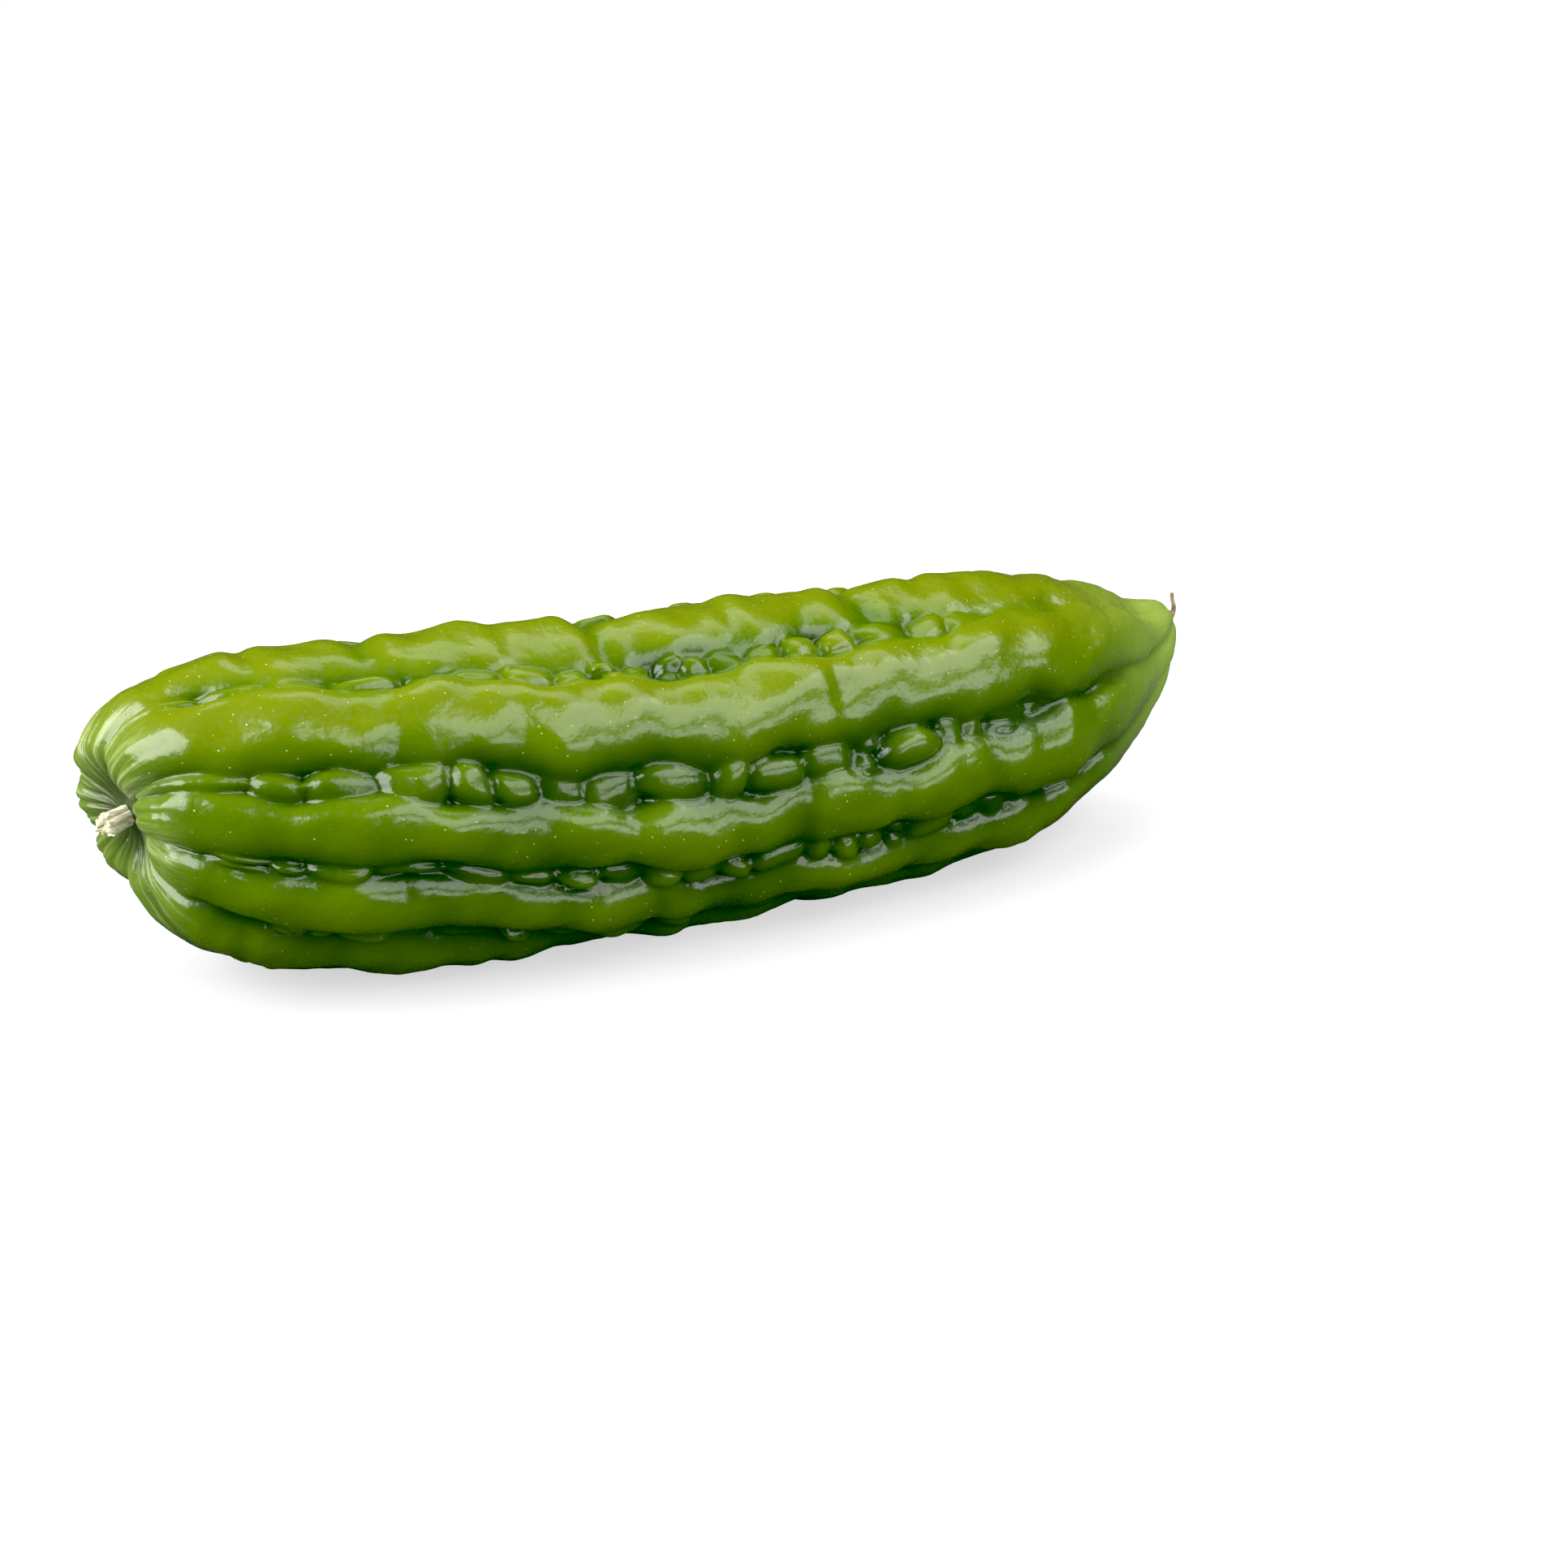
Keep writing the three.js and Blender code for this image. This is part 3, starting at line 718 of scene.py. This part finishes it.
def add_strand(work, turn, spread, length, radius):
    across = STEM_HEADING.cross(Vector((0, 0, 1))).normalized()
    outward = across * math.cos(turn) + STEM_HEADING.cross(across) * math.sin(turn)
    path = []
    radii = []
    for n in range(STRAND_STEPS + 1):
        rise = n / STRAND_STEPS
        flare = spread * (0.8 + 0.3 * rise ** 2)
        path.append(STEM_ROOT + STEM_HEADING * length * rise + outward * flare)
        radii.append(radius * (1 - 0.1 * rise + 0.12 * (stem_draw() - 0.5)))
    last = draw_rod(work, path, radii, STRAND_SIDES)
    for v in last:
        v.co += STEM_HEADING * RAGGED * length * (stem_draw() - 0.5)


def make_stem():
    work = bmesh.new()
    for n in range(OUTER_STRANDS):
        turn = FULL_TURN * n / OUTER_STRANDS + 0.3 * (stem_draw() - 0.5)
        length = STEM_REACH * stem_draw.between(OUTER_REACH)
        add_strand(work, turn, OUTER_SPREAD, length, stem_draw.between(OUTER_RADIUS) * MM)
    for n in range(INNER_STRANDS):
        turn = FULL_TURN * n / INNER_STRANDS + 0.5
        length = STEM_REACH * stem_draw.between(INNER_REACH)
        add_strand(work, turn, INNER_SPREAD, length, INNER_RADIUS)
    bmesh.ops.recalc_face_normals(work, faces=work.faces)
    mesh = bpy.data.meshes.new("stem_strands")
    work.to_mesh(mesh)
    work.free()
    return mesh


stem = bpy.data.objects.new("stem_strands", make_stem())
bpy.context.scene.collection.objects.link(stem)
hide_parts("cut_stem")
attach(stem, "root")
print("stem strands:", len(stem.data.polygons), "faces")

# %% [markdown]
# ## The dried curl at the tip
# What is left of the flower is a thin brown curl, thicker where it leaves the fruit.

# %% Style curl
# Points along the curl, outwards and upwards from its root, and its radius at each.
CURL = [
    (0, 0), (0.55, 0.4), (1.0, 1.1), (1.35, 2.0), (1.4, 3.0),
    (1.15, 4.0), (0.8, 4.9), (0.6, 5.8), (0.55, 6.6),
]
CURL_RADIUS = [0.85, 0.78, 0.7, 0.62, 0.55, 0.5, 0.48, 0.5, 0.42]
CURL_SIDES = 10
CURL_SUNK = 0.1 * MM
CURL_LIFT = 0.9 * MM
curl_low, curl_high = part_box("dried_style")
CURL_ROOT = Vector((
    curl_low.x + CURL_SUNK, (curl_low.y + curl_high.y) / 2, curl_low.z + CURL_LIFT,
))


def make_curl():
    work = bmesh.new()
    path = [CURL_ROOT + Vector((x, 0, z)) * MM for x, z in CURL]
    draw_rod(work, path, [radius * MM for radius in CURL_RADIUS], CURL_SIDES)
    bmesh.ops.recalc_face_normals(work, faces=work.faces)
    mesh = bpy.data.meshes.new("style_curl")
    work.to_mesh(mesh)
    work.free()
    mesh.shade_smooth()
    return mesh


curl = bpy.data.objects.new("style_curl", make_curl())
bpy.context.scene.collection.objects.link(curl)
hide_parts("dried_style")
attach(curl, "root")
print("style curl:", len(curl.data.polygons), "faces")

# %% [markdown]
# ## Node helpers
# A material is a small graph. These helpers add a node, set its inputs and link others to
# it, so that the finishes below read like a recipe.

# %% Helpers for shader nodes
def add_node(tree, kind, inputs=None, **settings):
    node = tree.nodes.new(kind)
    for name, value in settings.items():
        setattr(node, name, value)
    for name, value in (inputs or {}).items():
        socket = node.inputs[name]
        if isinstance(value, bpy.types.NodeSocket):
            tree.links.new(value, socket)
        else:
            socket.default_value = value
    return node


def maths(tree, operation, *values):
    node = add_node(tree, "ShaderNodeMath", operation=operation)
    for n, value in enumerate(values):
        if isinstance(value, bpy.types.NodeSocket):
            tree.links.new(value, node.inputs[n])
        else:
            node.inputs[n].default_value = value
    return node.outputs[0]


def blend_colours(tree, share, first, second):
    node = add_node(tree, "ShaderNodeMix", data_type="RGBA")
    for name, value in (("Factor", share), ("A", first), ("B", second)):
        socket = next(s for s in node.inputs if s.name == name and s.enabled)
        if isinstance(value, bpy.types.NodeSocket):
            tree.links.new(value, socket)
        else:
            socket.default_value = value
    return next(s for s in node.outputs if s.enabled)


def stretch(tree, value, low, high, to_low=0.0, to_high=1.0):
    """Moves a range of values softly to another range."""
    node = add_node(tree, "ShaderNodeMapRange", {
        "Value": value, "From Min": low, "From Max": high, "To Min": to_low, "To Max": to_high,
    }, interpolation_type="SMOOTHSTEP")
    return node.outputs["Result"]


def noise_mask(tree, place, scale, detail, roughness=0.5):
    """Cloudy noise, from 0 to 1, with scale patches in a metre."""
    return add_node(tree, "ShaderNodeTexNoise", {
        "Vector": place, "Scale": scale, "Detail": detail, "Roughness": roughness,
    }).outputs["Fac"]


def attribute(tree, name, output="Fac"):
    return add_node(tree, "ShaderNodeAttribute", attribute_name=name).outputs[output]


def new_material(name):
    material = bpy.data.materials.new(name)
    material.use_nodes = True
    tree = material.node_tree
    shader = tree.nodes["Principled BSDF"]
    return material, tree, shader


# %% [markdown]
# ## The skin's colour
# Fresh skin is a clear gloss over green flesh. Its colour also holds painted light: the furrows and the
# sides that face down are a deep green as painted shade, the crests a leaf green, and what faces up is
# a yellower light green as painted light. Both ends are paler, pale veins run out of the stem end, the
# hollow round the stem is painted in shade, and fine pale specks dot the crests. Most of the pattern
# reads attributes that were stored on the mesh, so it follows the fruit's own length and turn.

# %% Colour of the skin
# The deep green is painted shade in the furrows and on the sides that face down; the light green is
# painted light on what faces up.
PAINTED_SHADE_GREEN = (0.019, 0.050, 0.0003, 1)
LEAF_GREEN = (0.074, 0.136, 0.0006, 1)
PAINTED_LIT_GREEN = (0.132, 0.170, 0.003, 1)
PALE_END = (0.330, 0.460, 0.110, 1)
VEIN = (0.480, 0.560, 0.260, 1)
SPECK = (0.520, 0.620, 0.330, 1)
SHADED_HOLLOW = (0.035, 0.045, 0.014, 1)
PATCH_SCALE = 42.0
PATCH_STRENGTH = 0.7
VEIN_SCALE = 420.0
SPECK_SCALE = 520.0


def skin_greens(tree, place, crest):
    """Painted shade and light: deep green in the furrows and on the sides that face down, leaf green on
    the crests, a painted light green where they face up.
    """
    patches = maths(tree, "SUBTRACT", noise_mask(tree, place, PATCH_SCALE, 3.0, 0.55), 0.5)
    height = maths(tree, "ADD", crest, maths(tree, "MULTIPLY", patches, PATCH_STRENGTH))
    upper = attribute(tree, "upper_side")
    # Painted shade: the upper side counts as raised, so the sides that face down stay a deeper green.
    raised = maths(tree, "ADD", height, maths(tree, "MULTIPLY", upper, 0.3))
    colour = blend_colours(tree, stretch(tree, raised, 0.3, 1.05), PAINTED_SHADE_GREEN, LEAF_GREEN)
    # Painted light: raised parts that face up are lightened towards the light green.
    facing_up = stretch(tree, upper, 0, 1, 0.15, 0.9)
    painted_light_share = maths(tree, "MULTIPLY", stretch(tree, raised, 0.7, 1.2), facing_up)
    return blend_colours(tree, painted_light_share, colour, PAINTED_LIT_GREEN)


def vein_pattern(tree, drawn_out, stem_end):
    veins = noise_mask(tree, drawn_out, VEIN_SCALE, 4.0, 0.6)
    return maths(tree, "MULTIPLY", stretch(tree, veins, 0.5, 0.66), stem_end)


def pale_ends(tree, colour, crest, way, stem_end, vein_mask):
    tip_end = stretch(tree, way, 0.8, 1.0, 0, 0.45)
    tip_mask = maths(tree, "MULTIPLY", tip_end, stretch(tree, crest, 0.1, 0.9, 0.3, 1))
    colour = blend_colours(tree, tip_mask, colour, PALE_END)
    colour = blend_colours(tree, maths(tree, "MULTIPLY", stem_end, 0.22), colour, PALE_END)
    colour = blend_colours(tree, maths(tree, "MULTIPLY", vein_mask, 0.45), colour, VEIN)
    hollow_mask = maths(tree, "MULTIPLY", attribute(tree, "hollow"), 0.85)
    return blend_colours(tree, hollow_mask, colour, SHADED_HOLLOW)


def speck_pattern(tree, place, crest):
    """Round dots at the middles of Voronoi cells. Each cell's own colour sets its strength."""
    dots = add_node(tree, "ShaderNodeTexVoronoi", {"Vector": place, "Scale": SPECK_SCALE}, feature="F1")
    cell = add_node(tree, "ShaderNodeSeparateColor", {"Color": dots.outputs["Color"]}).outputs[0]
    chosen = stretch(tree, cell, 0.1, 0.85, 0.1, 1)
    mask = maths(tree, "MULTIPLY", stretch(tree, dots.outputs["Distance"], 0.12, 0.05), chosen)
    return maths(tree, "MULTIPLY", mask, stretch(tree, crest, 0.55, 0.9))


# %% [markdown]
# ## The skin's gloss and grain
# The gloss is not even: a faint wear pattern changes its roughness, and a bump adds what is
# too fine for the mesh. Soft ripples break up the long highlights, fine wrinkles run along
# the fruit, and pores, specks and veins stand out a little. Some light goes into the flesh
# and comes out green, which is what subsurface scattering does.

# %% Skin material
WEAR_SCALE = 900.0
PORE_SCALE = 650.0
WRINKLE_SCALE = 260.0
RIPPLE_SCALE = 170.0
PORE_LIFT = 0.10
SPECK_LIFT = 0.12
WRINKLE_LIFT = 0.22
RIPPLE_LIFT = 0.7
VEIN_LIFT = 0.25
SMOOTHEST = 0.17
ROUGHEST = 0.28
SKIN_BUMP = 0.0008


def skin_lift(tree, place, drawn_out, speck_mask, vein_mask):
    """Height for the bump: a sum of patterns, each with its own share."""
    lift = maths(tree, "MULTIPLY", noise_mask(tree, place, PORE_SCALE, 2.0), PORE_LIFT)
    for pattern, share in (
        (speck_mask, SPECK_LIFT),
        (noise_mask(tree, drawn_out, WRINKLE_SCALE, 3.0), WRINKLE_LIFT),
        (noise_mask(tree, place, RIPPLE_SCALE, 3.0, 0.6), RIPPLE_LIFT),
        (vein_mask, VEIN_LIFT),
    ):
        lift = maths(tree, "ADD", lift, maths(tree, "MULTIPLY", pattern, share))
    return lift


def make_skin_material():
    material, tree, shader = new_material("gourd_skin")
    place = add_node(tree, "ShaderNodeTexCoord").outputs["Object"]
    crest = attribute(tree, "crest")
    way = attribute(tree, "way_along")
    grain = attribute(tree, "grain_place", "Vector")
    mapping = add_node(tree, "ShaderNodeMapping", {"Vector": grain, "Scale": (0.12, 1.0, 1.0)})
    drawn_out = mapping.outputs["Vector"]
    stem_end = stretch(tree, way, 0.06, 0.0, 0, 1)

    vein_mask = vein_pattern(tree, drawn_out, stem_end)
    speck_mask = speck_pattern(tree, place, crest)
    colour = skin_greens(tree, place, crest)
    colour = pale_ends(tree, colour, crest, way, stem_end, vein_mask)
    colour = blend_colours(tree, maths(tree, "MULTIPLY", speck_mask, 0.7), colour, SPECK)
    tree.links.new(colour, shader.inputs["Base Color"])

    wear = noise_mask(tree, place, WEAR_SCALE, 2.0)
    roughness = stretch(tree, wear, 0.3, 0.75, SMOOTHEST, ROUGHEST)
    tree.links.new(roughness, shader.inputs["Roughness"])
    lift = skin_lift(tree, place, drawn_out, speck_mask, vein_mask)
    bump = add_node(tree, "ShaderNodeBump", {"Height": lift, "Strength": 0.5, "Distance": SKIN_BUMP})
    tree.links.new(bump.outputs["Normal"], shader.inputs["Normal"])
    shader.inputs["IOR"].default_value = 1.6
    shader.inputs["Subsurface Weight"].default_value = 0.07
    shader.inputs["Subsurface Radius"].default_value = (0.6, 1.0, 0.15)
    shader.inputs["Subsurface Scale"].default_value = 0.004
    return material


skin.data.materials.append(make_skin_material())
print("skin material made")

# %% [markdown]
# ## Dry fibre
# The torn stem and the dried curl are both plant fibre that has lost its water, one pale and
# one brown. They share a group that turns a place on the piece into a fibre pattern.

# %% Fibre group
def make_fibre_group():
    group = bpy.data.node_groups.new("dry_fibre", "ShaderNodeTree")
    group.interface.new_socket("Place", in_out="INPUT", socket_type="NodeSocketVector")
    group.interface.new_socket("Light Colour", in_out="INPUT", socket_type="NodeSocketColor")
    group.interface.new_socket("Dark Colour", in_out="INPUT", socket_type="NodeSocketColor")
    group.interface.new_socket("Fineness", in_out="INPUT", socket_type="NodeSocketFloat")
    group.interface.new_socket("Colour", in_out="OUTPUT", socket_type="NodeSocketColor")
    group.interface.new_socket("Height", in_out="OUTPUT", socket_type="NodeSocketFloat")
    entry = group.nodes.new("NodeGroupInput")
    leave = group.nodes.new("NodeGroupOutput")
    threads = noise_mask(group, entry.outputs["Place"], entry.outputs["Fineness"], 4.0, 0.65)
    share = stretch(group, threads, 0.35, 0.62)
    group.links.new(
        blend_colours(group, share, entry.outputs["Dark Colour"], entry.outputs["Light Colour"]),
        leave.inputs["Colour"],
    )
    group.links.new(threads, leave.inputs["Height"])
    return group


fibre_group = make_fibre_group()
print("fibre group:", len(fibre_group.nodes), "nodes")

# %% Fibre materials
PALE_STRAND = (0.95, 0.91, 0.70, 1)
SHADED_STRAND = (0.55, 0.50, 0.30, 1)
BROWN_CURL = (0.42, 0.30, 0.19, 1)
DARK_CURL = (0.13, 0.08, 0.04, 1)
FIBRE_BUMP = 0.0003


def make_fibre_material(name, light, dark, fineness, draw_out, roughness):
    material, tree, shader = new_material(name)
    place = add_node(tree, "ShaderNodeTexCoord").outputs["Object"]
    mapping = add_node(tree, "ShaderNodeMapping", {"Vector": place, "Scale": draw_out})
    fibre = tree.nodes.new("ShaderNodeGroup")
    fibre.node_tree = fibre_group
    tree.links.new(mapping.outputs["Vector"], fibre.inputs["Place"])
    fibre.inputs["Light Colour"].default_value = light
    fibre.inputs["Dark Colour"].default_value = dark
    fibre.inputs["Fineness"].default_value = fineness
    tree.links.new(fibre.outputs["Colour"], shader.inputs["Base Color"])
    bump = add_node(tree, "ShaderNodeBump", {
        "Height": fibre.outputs["Height"], "Strength": 0.8, "Distance": FIBRE_BUMP,
    })
    tree.links.new(bump.outputs["Normal"], shader.inputs["Normal"])
    shader.inputs["Roughness"].default_value = roughness
    return material


stem.data.materials.append(make_fibre_material(
    "torn_stem", PALE_STRAND, SHADED_STRAND, fineness=1500.0, draw_out=(0.2, 1, 1), roughness=0.75,
))
curl.data.materials.append(make_fibre_material(
    "dry_curl", BROWN_CURL, DARK_CURL, fineness=1800.0, draw_out=(1, 1, 0.25), roughness=0.7,
))
print("fibre materials made")

# %% [markdown]
# ## Floor and light
# The fruit lies on a white board. A wide, soft sun from behind and above makes the crests
# bright and yellow-green, and stays out of the reflections. Four softboxes draw the pale
# highlights: a long one in front and above for the upper flanks, a low strip for the lower
# ones, one overhead for the back ridge and one on the left for the lobes at the stem end.
# The room is dim, so the sides between the highlights stay deep green. The Standard view
# keeps the white board white, and the black level in its curves takes away the grey haze
# that the dim room leaves in the darkest greens.

# %% Floor
FLOOR_HALF = 12
BOARD = (0.3, 0.3, 0.3, 1)
BOARD_IN_GLOSS = (0.05, 0.05, 0.05, 1)
BOARD_GLOW = 0.6
BLACK_LEVEL = (0.018, 0.006, 0.014)


def make_floor():
    work = bmesh.new()
    bmesh.ops.create_grid(work, x_segments=1, y_segments=1, size=FLOOR_HALF)
    mesh = bpy.data.meshes.new("floor")
    work.to_mesh(mesh)
    work.free()
    material, tree, shader = new_material("pale_board")
    shader.inputs["Roughness"].default_value = 0.7
    shader.inputs["Specular IOR Level"].default_value = 0.0
    shader.inputs["Emission Color"].default_value = (1, 1, 1, 1)
    path = tree.nodes.new("ShaderNodeLightPath")
    board = blend_colours(tree, path.outputs["Is Glossy Ray"], BOARD, BOARD_IN_GLOSS)
    tree.links.new(board, shader.inputs["Base Color"])
    glow = maths(tree, "MULTIPLY", path.outputs["Is Camera Ray"], BOARD_GLOW)
    tree.links.new(glow, shader.inputs["Emission Strength"])
    mesh.materials.append(material)
    floor = bpy.data.objects.new("floor", mesh)
    bpy.context.scene.collection.objects.link(floor)


make_floor()
view = bpy.context.scene.view_settings
view.view_transform = "Standard"
view.use_curve_mapping = True
view.curve_mapping.black_level = BLACK_LEVEL
view.curve_mapping.update()
print("floor and view made")

# %% Lights
LIGHT_DISTANCE = 1.2
# Name, direction from the fruit, width, height and radiance of each softbox.
SOFTBOXES = [
    ("front_softbox", (0.36, -0.55, 0.74), 1.65, 0.72, 3.1),
    ("low_strip", (0.43, -0.86, 0.24), 1.3, 0.34, 3.4),
    ("top_softbox", (0.30, 0.25, 0.92), 1.5, 0.5, 1.5),
    ("left_softbox", (-0.88, 0.0, 0.47), 0.95, 0.9, 6.2),
]


def aim(light, direction):
    towards = Vector(direction).normalized()
    light.location = VIEW_TARGET + towards * LIGHT_DISTANCE
    light.rotation_euler = towards.to_track_quat("Z", "Y").to_euler()
    bpy.context.scene.collection.objects.link(light)


def add_softbox(name, direction, width, height, radiance):
    data = bpy.data.lights.new(name, "AREA")
    data.shape = "RECTANGLE"
    data.size = width
    data.size_y = height
    data.energy = radiance * math.pi * width * height
    aim(bpy.data.objects.new(name, data), direction)


def add_sun(name, direction, strength, spread):
    data = bpy.data.lights.new(name, "SUN")
    data.energy = strength
    data.angle = math.radians(spread)
    sun = bpy.data.objects.new(name, data)
    sun.visible_glossy = False
    aim(sun, direction)


for softbox in SOFTBOXES:
    add_softbox(*softbox)
add_sun("overhead", (-0.25, 0.45, 0.86), strength=3.2, spread=90)

# %% [markdown]
# The room itself is an even grey. A Light Path node tells what kind of ray asks, so the
# gloss sees the room almost black, and the camera sees it white.

# %% The room
ROOM_GLOW = 0.5
ROOM_IN_GLOSS = 0.04


def studio_surround():
    world = bpy.data.worlds.new("surround")
    bpy.context.scene.world = world
    world.use_nodes = True
    tree = world.node_tree
    tree.nodes.clear()
    out = tree.nodes.new("ShaderNodeOutputWorld")
    path = tree.nodes.new("ShaderNodeLightPath")
    dimmed = maths(tree, "MULTIPLY", path.outputs["Is Glossy Ray"], ROOM_IN_GLOSS - ROOM_GLOW)
    strength = maths(tree, "ADD", dimmed, ROOM_GLOW)
    room = add_node(tree, "ShaderNodeBackground", {"Color": (1, 1, 1, 1), "Strength": strength})
    white = add_node(tree, "ShaderNodeBackground", {"Color": (1, 1, 1, 1), "Strength": 1.0})
    mix = tree.nodes.new("ShaderNodeMixShader")
    tree.links.new(path.outputs["Is Camera Ray"], mix.inputs[0])
    tree.links.new(room.outputs[0], mix.inputs[1])
    tree.links.new(white.outputs[0], mix.inputs[2])
    tree.links.new(mix.outputs[0], out.inputs[0])


studio_surround()
print("world:", bpy.context.scene.world.name)
